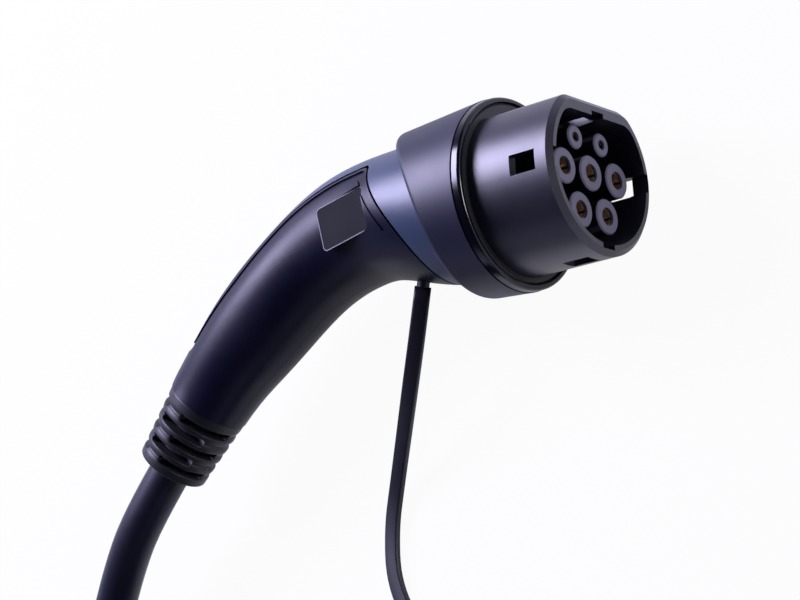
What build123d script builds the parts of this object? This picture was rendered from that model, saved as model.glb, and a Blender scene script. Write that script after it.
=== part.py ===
"""A vehicle charging connector with seven contacts, its tethered dust cap, and five metres of
cable with the station plug on the other end.

The connector is drawn upright: the origin is the middle of its mouth, +X points out along the
mating axis, +Z points at the flat of the D-shaped mouth, and Y is across. It is then laid on its
side, as it rests on a table: +X is still the mating axis, +Y is where the flat points, and Z is
the height over the table.
"""

import math
import os

from build123d import *

# Face of the connector
POWER_PITCH = 15.8  # from the earth contact to each neighbour on the middle row
LOWER_ROW_DROP = 14.7  # from the middle row to the two contacts under it
LOWER_ROW_HALF = 7.9
SIGNAL_ROW_RISE = 11.9  # from the middle row to the two small contacts
SIGNAL_ROW_HALF = 7.87
POWER_PIN_R = 3.0
SIGNAL_PIN_R = 1.5
PIN_CLEARANCE = 0.05
FACE_RECESS = 4.7  # from the rim back to the faces of the pillars

# Shroud
MOUTH_R = 27.2
MOUTH_FLAT = 19.7
MOUTH_CORNER = 8.0
SHROUD_R = 31.0
SHROUD_FLAT = 25.2
SHROUD_CORNER = 9.0
RIM_CHAMFER = 2.0
CAVITY_DEPTH = 40.0
WEB_THICKNESS = 6.0
SPIGOT_R = 26.1
SPIGOT_LENGTH = 9.0
OVERRUN = 2.0  # how far a cutting shape runs on past what it cuts
WINDOW_LENGTH = 11.0
WINDOW_WIDTH = 7.4
WINDOW_FROM_RIM = 6.8
KEYWAY_WIDTH = 7.0
KEYWAY_DEPTH = 1.7

# Insulator and contacts
CARRIER_R = 23.4
CARRIER_THICKNESS = 14.0
POWER_PILLAR_R = 6.55
SIGNAL_PILLAR_R = 4.4
PILLAR_EDGE = 0.5
MOUTH_EXTRA = 0.35  # how much wider a pillar's mouth is than the pin
MOUTH_LAND = 1.2  # depth of that mouth, in front of the contact
POWER_CONTACT_R = 4.3
SIGNAL_CONTACT_R = 2.7
CONTACT_CLEARANCE = 0.1
POWER_BORE_DEPTH = 27.0
SIGNAL_BORE_DEPTH = 20.0
CRIMP_OUT = 10.0  # how far a contact's crimp barrel stands out behind the retainer
CRIMP_DEPTH = 8.0
SPRING_SLOT = 0.8
SPRING_SLOT_LENGTH = 15.0
RETAINER_THICKNESS = 3.0
RETAINER_R = 25.6
RETAINER_SCREW_R = 1.4
RETAINER_SCREW_RING = 20.6
RETAINER_SCREW_ANGLES = (35.0, 145.0, 270.0)
RETAINER_SCREW_HOLE = 8.0
RETAINER_SCREW_BITE = 7.0
RETAINER_HEAD_R = 2.8
RETAINER_HEAD_HEIGHT = 1.8
RESISTOR_R = 2.2
RESISTOR_LENGTH = 7.0
RESISTOR_WIRE_R = 0.5
RESISTOR_WIRE_INSET = 1.0  # from the resistor's rear end, and from its axis

# Rings between the shroud and the handle
RING_FROM_RIM = 36.0
RING_R = SHROUD_R + 5.0
RING_WIDTH = 3.4
RING_EDGE = 1.2
SEAL_R = SHROUD_R + 3.0
SEAL_WIDTH = 1.8
SEAL_INSET = 0.4  # from the front of the glossy ring
SEAL_EDGE = 1.0
RING_GROOVE = 0.6
COLLAR_FRONT_R = RING_R + 0.2
COLLAR_BACK_R = COLLAR_FRONT_R - 3.2
COLLAR_SHOULDER = 2.6
# The back of the collar, seen from the side: distance behind the rim, height
COLLAR_LINE = [(86.0, 40.0), (78.5, 27.0), (68.5, 14.0), (61.5, 0.0), (58.2, -14.0), (58.2, -40.0)]

# Handle
WALL = 3.0
SEAT = 0.15  # the usual clearance of two seated pieces
GROOVE = 0.9  # width of the dark line between the cover and the grip
GROOVE_DEPTH = 1.3
HALF_GAP = 0.05  # from the middle plane to each half of the grip
# The shallow channel round the side panel: its two edges are measured from the cover's edge
CHANNEL_START = 2.0
CHANNEL_END = 5.4
CHANNEL_DEPTH = 0.6
CHANNEL_LOWEST = -8.0  # height at which it ends behind the band
CHANNEL_TURN = 125.0  # distance behind the rim past which only the spine has it
# Each section of the handle: how far behind the rim, height of its middle, slope of the handle
# there in degrees, half height, half width
SECTIONS = [
    (46.3, 0.0, 0.0, 30.0, 30.0),
    (58.0, 0.2, 0.0, 29.3, 29.5),
    (70.0, 1.0, 1.5, 28.2, 28.6),
    (87.0, 3.0, 3.0, 25.7, 26.5),
    (100.0, 4.4, 5.0, 23.9, 24.2),
    (115.0, 2.9, 13.0, 23.0, 22.6),
    (130.4, -2.0, 22.0, 21.9, 21.5),
    (145.8, -9.7, 29.5, 21.0, 20.9),
    (160.6, -19.1, 34.3, 20.8, 20.3),
    (175.7, -30.1, 38.0, 19.6, 19.3),
    (190.0, -41.6, 42.0, 17.8, 17.6),
    (198.5, -49.6, 45.0, 16.9, 16.9),
]
SECTION_POINTS = 16
# The back of the cover's band, seen from the side: distance behind the rim, height
BAND_LINE = [(90.5, 21.0), (82.0, 3.0), (73.5, -11.5), (69.5, -22.0), (69.5, -40.0)]
BAND_CORNER = 3.0
# The lower edge of the cover's spine, from its rounded tip on the crest to the band
SPINE_LINE = [
    (204.2, -14.7), (200.5, -19.1), (196.8, -23.5), (195.4, -24.5), (193.6, -24.7),
    (191.9, -23.9), (178.9, -14.6), (167.2, -7.0), (157.4, -0.2), (147.0, 6.0),
    (137.1, 11.1), (126.5, 15.0), (115.6, 17.8), (105.5, 19.6), (95.5, 20.5),
]

# Label plate on the handle's side, left bare
PLATE_LENGTH = 24.0
PLATE_HEIGHT = 17.5
PLATE_THICKNESS = 0.8
PLATE_CORNER = 2.0
PLATE_AT = (102.0, 1.5)  # behind the rim, height
PLATE_TILT = 10.5
PLATE_DEPTH = 22.2  # from the middle plane to the floor of its pocket

# Screws that hold the two halves of the grip: each with its section and share of its half height
SCREW_PLACES = [(4, 0.40), (6, -0.62), (8, -0.62)]
BOSS_R = 3.0
SCREW_R = 1.4
SCREW_HEAD_R = 2.7
SCREW_HEAD_DEPTH = 2.0
SCREW_SINK = 5.0  # how deep the head's seat lies under the side of the handle
SCREW_BITE = 8.0
SCREW_TIP_GAP = 1.0
THREAD_FIT = 0.02  # between a screw and the hole that it is driven into

# Cable, its cores and its strain relief
CABLE_R = 8.5
CORE_R = 2.2
SIGNAL_CORE_R = 1.2
CORE_RING = 5.6  # radius on which the cores leave the sheath
CORE_BEND = 75.0  # distance behind the rim at which the cores line up with their contacts
CORE_ARC = 9.0
CORE_FREE = 8.0  # how far a core runs straight on out of the sheath
CORE_SECTION = 6  # the section of the handle in whose middle the bundle runs
BOOT_RINGS = 6
BOOT_PITCH = 4.5
BOOT_RING_WIDTH = 2.8
BOOT_FRONT_R = 16.6
BOOT_BACK_R = 14.4
BOOT_CORE_R = 11.4
BOOT_END_WIDTH = 4.4
BOOT_EDGE = 0.8
BOOT_ROOT_LENGTH = 10.0
BOOT_ROOT_R = 13.7
BOOT_BRIDGE = 5.0
BOOT_BRIDGE_INSET = 1.5  # from the outside of a ring to the end of the bridge behind it
CLAMP_LENGTH = 12.0
CLAMP_FROM_END = 22.0
SHEATH_PAST_CLAMP = 6.0

# Tether strap and dust cap
STRAP_R = 2.4
ANCHOR_NECK = 5.0
ANCHOR_HEAD = 3.0
ANCHOR_HEAD_R = 4.5
CAP_DEPTH = 24.0
CAP_FLOOR = 3.0
CAP_WALL = 2.6
CAP_GAP = 0.4
CAP_EDGE = 1.5
CAP_LUG_WIDTH = 8.0
CAP_LUG_HEIGHT = 6.0
CAP_LUG_REACH = 4.0
CAP_AT = (-64.0, -186.0)
CAP_LUG_ANGLE = 150.0
CAP_FLAT_ANGLE = 60.0

# Station plug, which has the same handle as the connector
PLUG_R = 27.0
PLUG_FLAT = 19.4
PLUG_CORNER = 7.0
PLUG_WELL_EXTRA = 0.5  # how much wider a well is than the pillar that enters it
PLUG_WELL_DEPTH = 34.0
PLUG_PIN_RECESS = 3.5
PLUG_PIN_SHOULDER = 1.2
PLUG_PIN_TIP = 1.2
PLUG_EDGE = 1.2
PLUG_FLANGE = 1.0  # how far the plug's wide rear part stands out in front of the ring

# Cable route on the table: from the strain relief to the coil, then the coil itself
REST_HEIGHT = COLLAR_FRONT_R
CABLE_ROUTE = [
    (-220.703, -71.803, 36.2),
    (-240.703, -91.803, 36.2),
    (-257.5, -110.0, 31.2),
    (-272.3, -129.3, 25.5),
    (-284.0, -148.0, 25.5),
]
STRAP_ROUTE = [
    (-84.5, -25.0, 36.2),
    (-90.3, -41.4, 34.2),
    (-102.1, -59.0, 26.2),
    (-117.0, -75.3, 14.2),
    (-129.0, -90.5, 5.2),
    (-135.7, -106.7, 2.4),
    (-136.5, -128.0, 2.4),
    (-127.0, -147.0, 2.4),
    (-111.73, -158.44, 2.4),
    (-97.01, -166.94, 2.4),
]
COIL_MEAN_R = 100.0
COIL_COLUMNS = 3
COIL_LAYERS = 3
COIL_ENTRY_LAYER = 2
COIL_ENTRY_ANGLE = 148.0
COIL_EXIT_ANGLE = 289.0
COIL_ENTRY_REACH = 66.0
COIL_EXIT_REACH = 85.0
COIL_SLACK = 0.5
COIL_EDGE = 6.0
ARC_SHARE = 0.45  # how much of the shorter run beside it an arc takes up

BIG = 200.0  # longer than any piece of the connector that it cuts
MOUTH_EDGE_ANGLES = (0.0, 90.0, 180.0, 270.0)
POWER_CONTACTS = {
    "pe": (0.0, 0.0),
    "n": (POWER_PITCH, 0.0),
    "l1": (-POWER_PITCH, 0.0),
    "l2": (-LOWER_ROW_HALF, -LOWER_ROW_DROP),
    "l3": (LOWER_ROW_HALF, -LOWER_ROW_DROP),
}
SIGNAL_CONTACTS = {
    "cp": (SIGNAL_ROW_HALF, SIGNAL_ROW_RISE),
    "pp": (-SIGNAL_ROW_HALF, SIGNAL_ROW_RISE),
}
SHARED_PIECES = (
    "trim_ring", "front_seal", "collar", "cover", "grip_left", "grip_right", "label_plate",
    "housing_screws", "boot", "cable_inside", "cable_clamp",
)
CARRIER_FRONT = CAVITY_DEPTH + 1.0
CARRIER_BACK = CARRIER_FRONT + CARRIER_THICKNESS
CONTACT_FRONT = FACE_RECESS + MOUTH_LAND
CONTACT_BACK = CARRIER_BACK + RETAINER_THICKNESS + SEAT + CRIMP_OUT
COLLAR_FRONT = RING_FROM_RIM + RING_WIDTH + RING_GROOVE
SHROUD_BACK = CAVITY_DEPTH + WEB_THICKNESS


def across(behind, profile):
    """Puts a profile in the plane across the mating axis, so far behind the rim."""
    return Plane.YZ.offset(-behind) * profile


def bar(front, back, profile):
    """A profile drawn across the mating axis, run from one distance behind the rim to another."""
    return extrude(across(back, profile), amount=back - front)


def rod(front, back, radius, place=(0.0, 0.0)):
    """A round bar along the mating axis."""
    return bar(front, back, Pos(*place) * Circle(radius))


def d_profile(radius, flat, corner):
    """A circle with its top cut off to a flat, and the two corners rounded."""
    blank = Circle(radius) - Pos(0, flat + radius) * Rectangle(4 * radius, 2 * radius)
    corners = blank.vertices().filter_by_position(Axis.Y, flat - 0.01, flat + 0.01)
    return fillet(corners, corner)


def all_contacts():
    """Each contact's name, place, pin radius, sleeve radius and pillar radius."""
    for name, place in POWER_CONTACTS.items():
        yield name, place, POWER_PIN_R, POWER_CONTACT_R, POWER_PILLAR_R
    for name, place in SIGNAL_CONTACTS.items():
        yield name, place, SIGNAL_PIN_R, SIGNAL_CONTACT_R, SIGNAL_PILLAR_R


def make_shroud():
    """The black D-shaped nose, with its web, its spigot, four windows and four keyways."""
    body = bar(0, SHROUD_BACK, d_profile(SHROUD_R, SHROUD_FLAT, SHROUD_CORNER))
    body = chamfer(body.faces().sort_by(Axis.X)[-1].edges(), RIM_CHAMFER)
    body += rod(SHROUD_BACK, SHROUD_BACK + SPIGOT_LENGTH, SPIGOT_R)
    body -= bar(0, CAVITY_DEPTH, d_profile(MOUTH_R, MOUTH_FLAT, MOUTH_CORNER))
    body -= rod(CAVITY_DEPTH, SHROUD_BACK + SPIGOT_LENGTH, CARRIER_R + SEAT)
    for angle in MOUTH_EDGE_ANGLES:
        reach = (MOUTH_FLAT if angle == 90.0 else MOUTH_R) + KEYWAY_DEPTH
        key = Pos(reach / 2, 0) * Rectangle(reach, KEYWAY_WIDTH)
        gap = Pos(BIG / 2, 0) * Rectangle(BIG, WINDOW_WIDTH)
        body -= bar(0, WINDOW_FROM_RIM + WINDOW_LENGTH, Rot(0, 0, angle) * key)
        body -= bar(WINDOW_FROM_RIM, WINDOW_FROM_RIM + WINDOW_LENGTH, Rot(0, 0, angle) * gap)
    return body


def make_contact_carrier():
    """The insulator's round base, which the pillars stand on and the contacts pass through."""
    body = rod(CARRIER_FRONT, CARRIER_BACK, CARRIER_R)
    for _, place, _, sleeve, _ in all_contacts():
        body -= rod(CARRIER_FRONT, CARRIER_BACK, sleeve + CONTACT_CLEARANCE, place)
    for angle in RETAINER_SCREW_ANGLES:
        hole = CARRIER_BACK - RETAINER_SCREW_HOLE
        body -= rod(hole, CARRIER_BACK, RETAINER_SCREW_R, on_ring(angle))
    return body


def make_pillar(place, pin, sleeve, pillar):
    """One of the insulator's pillars: a tube round its contact, with a narrower mouth."""
    post = rod(FACE_RECESS, CARRIER_FRONT, pillar, place)
    post = chamfer(post.faces().sort_by(Axis.X)[-1].edges(), PILLAR_EDGE)
    post -= rod(FACE_RECESS, CONTACT_FRONT, pin + MOUTH_EXTRA, place)
    return post - rod(CONTACT_FRONT, CARRIER_FRONT, sleeve + CONTACT_CLEARANCE, place)


def on_ring(angle, radius=RETAINER_SCREW_RING):
    """A place at an angle and radius round the mating axis."""
    return (radius * math.cos(math.radians(angle)), radius * math.sin(math.radians(angle)))


def make_contact(place, pin, sleeve, bore_depth):
    """A turned socket contact: a slotted sleeve in front and a crimp barrel behind."""
    front = CONTACT_FRONT + CONTACT_CLEARANCE
    body = rod(front, CONTACT_BACK, sleeve, place)
    body -= rod(front, front + bore_depth, pin + PIN_CLEARANCE, place)
    core = CORE_R if pin == POWER_PIN_R else SIGNAL_CORE_R
    body -= rod(CONTACT_BACK - CRIMP_DEPTH, CONTACT_BACK, core + SEAT, place)
    slot = Pos(*place) * Rectangle(BIG, SPRING_SLOT)
    body -= bar(front, front + SPRING_SLOT_LENGTH, slot)
    return body


def make_contact_retainer():
    """The plate behind the insulator that keeps the contacts from being pushed back."""
    front = CARRIER_BACK + SEAT
    body = rod(front, front + RETAINER_THICKNESS, RETAINER_R)
    for _, place, _, sleeve, _ in all_contacts():
        body -= rod(front, front + RETAINER_THICKNESS, sleeve + CONTACT_CLEARANCE, place)
    for angle in RETAINER_SCREW_ANGLES:
        body -= rod(front, front + RETAINER_THICKNESS, RETAINER_SCREW_R + SEAT, on_ring(angle))
    return body


def make_retainer_screws():
    """The screws that hold the retainer to the insulator."""
    back = CARRIER_BACK + SEAT + RETAINER_THICKNESS
    screws = []
    for angle in RETAINER_SCREW_ANGLES:
        place = on_ring(angle)
        shank = rod(CARRIER_BACK - RETAINER_SCREW_BITE, back, RETAINER_SCREW_R - THREAD_FIT, place)
        screws.append(shank + rod(back, back + RETAINER_HEAD_HEIGHT, RETAINER_HEAD_R, place))
    return screws


def make_front_seal():
    """The rubber lip between the shroud and the glossy ring."""
    front = RING_FROM_RIM + SEAL_INSET
    body = rod(front, front + SEAL_WIDTH, SEAL_R)
    body = chamfer(body.faces().sort_by(Axis.X)[-1].edges(), SEAL_EDGE)
    return body - shroud_clearance(front, front + SEAL_WIDTH)


def shroud_clearance(front, back):
    """The shroud's outline with a clearance, which the rings round it are cut to."""
    profile = d_profile(SHROUD_R + SEAT, SHROUD_FLAT + SEAT, SHROUD_CORNER)
    return bar(front, back, profile)


def make_trim_ring():
    """The glossy ring in front of the collar, with a recess for the seal."""
    back = RING_FROM_RIM + RING_WIDTH
    body = rod(RING_FROM_RIM, back, RING_R)
    body = fillet(body.edges().filter_by(GeomType.CIRCLE).sort_by(Axis.X)[-1], RING_EDGE)
    seal_back = RING_FROM_RIM + SEAL_INSET + SEAL_WIDTH
    body -= rod(RING_FROM_RIM, seal_back + SEAT, SEAL_R + SEAT)
    return body - shroud_clearance(RING_FROM_RIM, back)


def side_cut(edges, corners):
    """The area between some edges and straight lines through corners, run out to both sides."""
    outline = [edges[-1] @ 1] + corners + [edges[0] @ 0]
    area = make_face([*edges, Polyline(*outline)])
    return extrude(Plane.XZ.offset(BIG / 2) * area, amount=-BIG)


def moved_out(points, distance):
    """Moves a line of points to its right-hand side by a distance, with mitred corners."""
    runs = []
    for here, after in zip(points, points[1:]):
        run = Vector(after[0] - here[0], after[1] - here[1]).normalized()
        runs.append(Vector(run.Y, -run.X))
    pairs = zip(points, [runs[0]] + runs, runs + [runs[-1]])
    return [
        Vector(*here) + (before + after) * (distance / (1 + before.dot(after)))
        for here, before, after in pairs
    ]


def section_plane(section):
    """The plane of one section of the handle, square to its middle line."""
    behind, height, slope, _, _ = section
    tilt = math.radians(slope)
    along = (math.cos(tilt), 0, math.sin(tilt))
    return Plane(origin=(-behind, 0, height), x_dir=(0, 1, 0), z_dir=along)


def section_point(index, share, side=0.0):
    """A point of a section, by its share of the half height and half width."""
    section = SECTIONS[index]
    return section_plane(section).from_local_coords((side * section[4], share * section[3], 0))


def oval(section, inset):
    """One section of the handle as a closed smooth line, moved in by an inset."""
    _, _, _, half_height, half_width = section
    turns = [2 * math.pi * i / SECTION_POINTS for i in range(SECTION_POINTS)]
    points = [
        ((half_width - inset) * math.cos(turn), (half_height - inset) * math.sin(turn))
        for turn in turns
    ]
    return section_plane(section) * make_face(Spline(*points, periodic=True))


def handle_solid(inset, past_ends=0.0):
    """The handle's outer form moved in by an inset, and run past both of its ends."""
    ovals = [oval(section, inset) for section in SECTIONS]
    body = loft(ovals)
    if past_ends:
        body += extrude(ovals[0], amount=past_ends)
        body += extrude(ovals[-1], amount=-past_ends)
    return body


def cover_zone(extra=0.0):
    """What belongs to the cover: its band round the neck and its spine along the back."""
    line = [(-behind, height) for behind, height in SPINE_LINE + BAND_LINE]
    line = moved_out(line, extra)
    corner = line[len(SPINE_LINE)]
    edges = [Spline(*line[: len(SPINE_LINE) + 1]), Spline(*line[len(SPINE_LINE) :])]
    front = -SHROUD_BACK + OVERRUN
    zone = side_cut(edges, [(front, -BIG / 5), (front, BIG / 2), (line[0].X, BIG / 2)])
    turn = zone.edges().filter_by(Axis.Y).sort_by_distance((corner.X, 0, corner.Y))[0]
    return fillet(turn, BAND_CORNER)


def screw_places():
    """Where the grip's screws cross the middle plane."""
    return [section_point(index, share) for index, share in SCREW_PLACES]


def crosswise(point, low, high, radius):
    """A round bar across the handle, between two distances from the middle plane."""
    circle = Plane.XZ.offset(-low) * Pos(point.X, point.Z) * Circle(radius)
    return extrude(circle, amount=-(high - low))


def make_grip(side, shell, anchor):
    """One half of the grip: side is -1 for the half that shows and +1 for the lower half."""
    half = Pos(-BIG / 2, side * (BIG / 2 + HALF_GAP), 0) * Box(2 * BIG, BIG, 2 * BIG)
    body = shell & half
    for point in screw_places():
        if side > 0:
            sink = half_width_at(point) - SCREW_SINK
            body -= crosswise(point, 0, BIG / 4, SCREW_R + SEAT)
            body -= crosswise(point, sink, BIG / 4, SCREW_HEAD_R + SEAT)
        else:
            body -= crosswise(point, -SCREW_BITE, 0, SCREW_R)
    if side < 0:
        body -= plate_block(PLATE_DEPTH, BIG / 4, SEAT)
    return body - anchor


def channel_zone():
    """Where the side panel's channel runs: along the cover's edge, down to its lowest point."""
    zone = cover_zone(CHANNEL_END) - cover_zone(CHANNEL_START)
    behind_band = Pos(0, 0, CHANNEL_LOWEST + BIG / 2) * Box(2 * BIG, BIG, BIG)
    under_spine = Pos(-CHANNEL_TURN - BIG, 0, 0) * Box(2 * BIG, BIG, BIG)
    return zone & (behind_band + under_spine)


def make_grip_shell(outer, inner):
    """The whole grip before it is split: the wall behind the cover, its grooves and its bosses."""
    shell = outer - inner
    for point in screw_places():
        shell += crosswise(point, -BIG / 4, BIG / 4, BOSS_R) & outer
    shell -= cover_zone(SEAT)
    shell -= cover_zone(GROOVE) - handle_solid(GROOVE_DEPTH, OVERRUN)
    return shell - (channel_zone() - handle_solid(CHANNEL_DEPTH, OVERRUN))


def half_width_at(point):
    """The handle's half width beside a point of the middle plane, off its nearest section."""
    def reach(section):
        return math.hypot(point.X + section[0], point.Z - section[1])

    section = min(SECTIONS, key=reach)
    local = section_plane(section).to_local_coords(point)
    return section[4] * math.sqrt(1 - (local.Y / section[3]) ** 2)


def make_housing_screws():
    """The screws that join the halves of the grip, put in from its lower side."""
    screws = []
    for point in screw_places():
        sink = half_width_at(point) - SCREW_SINK
        shank = crosswise(point, -SCREW_BITE + SCREW_TIP_GAP, sink, SCREW_R - THREAD_FIT)
        head = crosswise(point, sink, sink + SCREW_HEAD_DEPTH, SCREW_HEAD_R)
        screws.append(shank + head)
    return screws


def plate_block(low, high, extra):
    """The label plate's outline, run out of the side that shows."""
    outline = RectangleRounded(PLATE_LENGTH + 2 * extra, PLATE_HEIGHT + 2 * extra, PLATE_CORNER)
    turned = Pos(-PLATE_AT[0], PLATE_AT[1]) * Rot(0, 0, PLATE_TILT) * outline
    return extrude(Plane.XZ.offset(low) * turned, amount=high - low)


def make_label_plate():
    """The bare plate in its pocket on the handle's side."""
    return plate_block(PLATE_DEPTH, PLATE_DEPTH + PLATE_THICKNESS, 0.0)


def make_collar(outer_clear):
    """The matte collar: a cone cut off by a slanting line behind, with a rounded shoulder."""
    length = COLLAR_LINE[0][0] - COLLAR_FRONT
    front = across(COLLAR_FRONT, Circle(COLLAR_FRONT_R))
    back = across(COLLAR_FRONT + length, Circle(COLLAR_BACK_R))
    body = loft([front, back])
    line = Spline(*[(-behind, height) for behind, height in COLLAR_LINE])
    body -= side_cut([line], [(-BIG, -BIG / 5), (-BIG, BIG / 5)])
    rear = body.faces().filter_by(GeomType.PLANE, reverse=True).sort_by(Axis.X)[0]
    body = fillet(rear.edges(), COLLAR_SHOULDER)
    body -= outer_clear
    return body - shroud_clearance(COLLAR_FRONT - OVERRUN, SHROUD_BACK + SEAT)


def boot_frame():
    """The plane at the rear end of the grip, whose normal points out along the cable."""
    plane = section_plane(SECTIONS[-1])
    return Plane(origin=plane.origin, x_dir=(0, 1, 0), z_dir=-plane.z_dir)


def boot_length():
    """Length of the strain relief outside the grip."""
    return BOOT_RINGS * BOOT_PITCH + BOOT_END_WIDTH


def make_boot():
    """The ringed strain relief: a slim sleeve with rings, joined by staggered bridges."""
    frame = boot_frame()
    length = boot_length()
    body = extrude(frame * Circle(BOOT_CORE_R), amount=length)
    body += extrude(frame * Circle(BOOT_ROOT_R), amount=-BOOT_ROOT_LENGTH)
    for index in range(BOOT_RINGS + 1):
        share = index / BOOT_RINGS
        radius = BOOT_FRONT_R + (BOOT_BACK_R - BOOT_FRONT_R) * share
        start = index * BOOT_PITCH + SEAT
        width = BOOT_END_WIDTH - SEAT if index == BOOT_RINGS else BOOT_RING_WIDTH
        ring = extrude(frame.offset(start) * Circle(radius), amount=width)
        body += chamfer(ring.edges().filter_by(GeomType.CIRCLE), BOOT_EDGE)
        if index < BOOT_RINGS:
            span = 2 * (radius - BOOT_BRIDGE_INSET)
            bridge = Rot(0, 0, 90.0 * (index % 2)) * Rectangle(span, BOOT_BRIDGE)
            body += extrude(frame.offset(start + width / 2) * bridge, amount=BOOT_PITCH)
    bore = frame.offset(-BOOT_ROOT_LENGTH) * Circle(CABLE_R + SEAT)
    return body - extrude(bore, amount=BOOT_ROOT_LENGTH + length)


def make_cable_inside():
    """The last stretch of the sheath, held in the boot and the clamp."""
    frame = boot_frame()
    start = -(CLAMP_FROM_END + CLAMP_LENGTH + SHEATH_PAST_CLAMP)
    return extrude(frame.offset(start) * Circle(CABLE_R), amount=boot_length() - start)


def make_cable_clamp():
    """The block that grips the sheath inside the handle and fills the grip's section."""
    frame = boot_frame().offset(-(CLAMP_FROM_END + CLAMP_LENGTH))
    body = extrude(frame * Circle(BIG / 4), amount=CLAMP_LENGTH) & handle_solid(WALL + SEAT)
    return body - extrude(frame * Circle(CABLE_R + SEAT), amount=CLAMP_LENGTH)


def sheath_end():
    """The plane of the sheath's end inside the handle, looking at the contacts."""
    back = CLAMP_FROM_END + CLAMP_LENGTH + SHEATH_PAST_CLAMP
    frame = boot_frame().offset(-back)
    return Plane(origin=frame.origin, x_dir=(0, 1, 0), z_dir=-frame.z_dir)


def make_core(place, radius):
    """One insulated core, fanned out from the sheath to its contact."""
    share = CORE_RING / POWER_PITCH
    end = sheath_end()
    middle = section_plane(SECTIONS[CORE_SECTION])
    path = FilletPolyline(
        end.from_local_coords((place[0] * share, place[1] * share, 0)),
        end.from_local_coords((place[0] * share, place[1] * share, CORE_FREE)),
        middle.from_local_coords((place[0] * share, place[1] * share, 0)),
        Vector(-CORE_BEND, place[0], place[1]),
        Vector(-(CONTACT_BACK - CRIMP_DEPTH + SEAT), place[0], place[1]),
        radius=CORE_ARC,
    )
    return sweep(Plane(path @ 0, z_dir=path % 0) * Circle(radius), path=path)


def make_pp_resistor():
    """The coding resistor behind the proximity contact, with its wire to the earth core."""
    place = SIGNAL_CONTACTS["pp"]
    front = CONTACT_BACK + SEAT
    body = rod(front, front + RESISTOR_LENGTH, RESISTOR_R, place)
    tail = Vector(-(front + RESISTOR_LENGTH - RESISTOR_WIRE_INSET), place[0], place[1])
    reach = math.hypot(*place) - CORE_R - SEAT - RESISTOR_WIRE_INSET
    side = Vector(0, -place[0], -place[1]).normalized()
    wire = Plane(origin=tail + side * RESISTOR_WIRE_INSET, z_dir=side) * Circle(RESISTOR_WIRE_R)
    return body + extrude(wire, amount=reach)


def strap_way():
    """The plane where the strap leaves the grip, whose normal points back into the grip."""
    start, after = (Vector(x, REST_HEIGHT - z, y) for x, y, z in STRAP_ROUTE[:2])
    return Plane(origin=start, z_dir=start - after)


def make_strap_anchor(extra=0.0):
    """The strap's neck and its head inside the grip."""
    way = strap_way()
    neck = extrude(way * Circle(STRAP_R + extra), amount=ANCHOR_NECK + extra)
    head = way.offset(ANCHOR_NECK - extra) * Circle(ANCHOR_HEAD_R + extra)
    return neck + extrude(head, amount=ANCHOR_HEAD + 2 * extra)


def cord_radii(points):
    """The arc at each corner of a route: as large as its two runs allow."""
    radii = []
    for before, here, after in zip(points, points[1:], points[2:]):
        into = Vector(*here) - Vector(*before)
        out = Vector(*after) - Vector(*here)
        turn = math.radians(into.get_angle(out))
        radii.append(ARC_SHARE * min(into.length, out.length) / math.tan(turn / 2))
    return radii


def make_cord(name, points, radius):
    """A cord's plain tube along its route, and a line that tells its length and bends."""
    radii = cord_radii(points)
    path = FilletPolyline(*points, radius=radii)
    start = Vector(*points[0])
    tube = sweep(Plane(start, z_dir=Vector(*points[1]) - start) * Circle(radius), path=path)
    expected = math.pi * radius**2 * path.length
    bends = " ".join(f"{value:.0f}" for value in radii)
    print(f"{name}: length {path.length:.1f}, bends {bends}, volume share {tube.volume / expected:.4f}")
    return tube


def coil_middle():
    """The coil's centre on the table, set so that the cable runs straight into its outer turn."""
    along = math.radians(COIL_ENTRY_ANGLE + 90)
    out = math.radians(COIL_ENTRY_ANGLE)
    radius = COIL_MEAN_R + (COIL_COLUMNS - 1) * CABLE_R
    x, y, _ = CABLE_ROUTE[-1]
    x += COIL_ENTRY_REACH * math.cos(along) - radius * math.cos(out)
    y += COIL_ENTRY_REACH * math.sin(along) - radius * math.sin(out)
    return x, y


def coil_ends():
    """Where the cable leaves the coil's outer turn for the plug, and where it meets the plug."""
    x, y = coil_middle()
    radius = COIL_MEAN_R + (COIL_COLUMNS - 1) * CABLE_R
    out, along = math.radians(COIL_EXIT_ANGLE), math.radians(COIL_EXIT_ANGLE + 90)
    leave = Vector(x + radius * math.cos(out), y + radius * math.sin(out), (2 * COIL_LAYERS - 1) * CABLE_R)
    step = Vector(math.cos(along), math.sin(along), 0) * COIL_EXIT_REACH
    meet = Vector(leave.X + step.X, leave.Y + step.Y, REST_HEIGHT)
    return leave, meet, step


def make_cable_coil():
    """The coiled cable: a ring of the coil's outer form, with the two ends that lead off it."""
    x, y = coil_middle()
    thick = 2 * CABLE_R * COIL_COLUMNS + 2 * COIL_SLACK
    tall = 2 * CABLE_R * COIL_LAYERS + COIL_SLACK
    shape = Plane.XZ * Pos(COIL_MEAN_R, tall / 2) * RectangleRounded(thick, tall, COIL_EDGE)
    body = Pos(x, y, 0) * revolve(shape, Axis.Z)
    height = (2 * COIL_ENTRY_LAYER - 1) * CABLE_R
    entry = Vector(CABLE_ROUTE[-1][0], CABLE_ROUTE[-1][1], height)
    along = math.radians(COIL_ENTRY_ANGLE + 90)
    way = Vector(math.cos(along), math.sin(along), 0)
    body += extrude(Plane(entry, z_dir=way) * Circle(CABLE_R), amount=COIL_ENTRY_REACH)
    leave, meet, step = coil_ends()
    first = Plane(leave, x_dir=(0, 0, 1), z_dir=step) * Circle(CABLE_R)
    last = Plane(meet, x_dir=(0, 0, 1), z_dir=step) * Circle(CABLE_R)
    return body + loft([first, last], ruled=True)


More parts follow.
